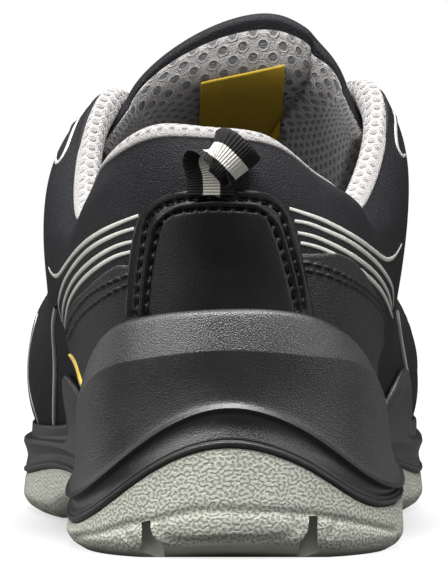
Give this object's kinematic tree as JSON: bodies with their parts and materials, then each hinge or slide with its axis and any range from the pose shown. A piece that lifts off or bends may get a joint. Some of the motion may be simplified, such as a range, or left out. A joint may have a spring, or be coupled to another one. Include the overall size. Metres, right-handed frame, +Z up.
{
  "type": "safety sneaker",
  "caption": "Low safety sneaker for the left foot: hollow upper on a cupped midsole, grooved outsole, padded collar and tongue, pull loop at the heel.",
  "frame": {"origin": "on the floor under the middle of the shoe's box", "axes": "+Z up, +Y from heel to toe, +X to the wearer's inner side"},
  "size_m": [0.1102, 0.3014, 0.133],
  "materials": {
    "outsole_rubber": "matte, textured",
    "midsole_foam": "satin",
    "upper_microfibre": "matte, fine grain",
    "insole_cloth": "matte",
    "tongue_mesh": "spacer mesh",
    "panel_leather": "smooth, soft sheen",
    "counter_microfibre": "matte, fine grain",
    "loop_webbing": "ribbed webbing",
    "lace_cord": "woven"
  },
  "bodies": {
    "root": {"outsole": "outsole_rubber", "midsole": "midsole_foam", "upper": "upper_microfibre", "insole": "insole_cloth", "tongue": "tongue_mesh", "heel_panel": "panel_leather", "counter_lateral": "counter_microfibre", "counter_medial": "counter_microfibre", "pull_loop": "loop_webbing", "lace_bar_1": "lace_cord", "lace_bar_2": "lace_cord", "lace_bar_3": "lace_cord", "lace_bar_4": "lace_cord", "lace_bar_5": "lace_cord"}
  },
  "joints": []
}
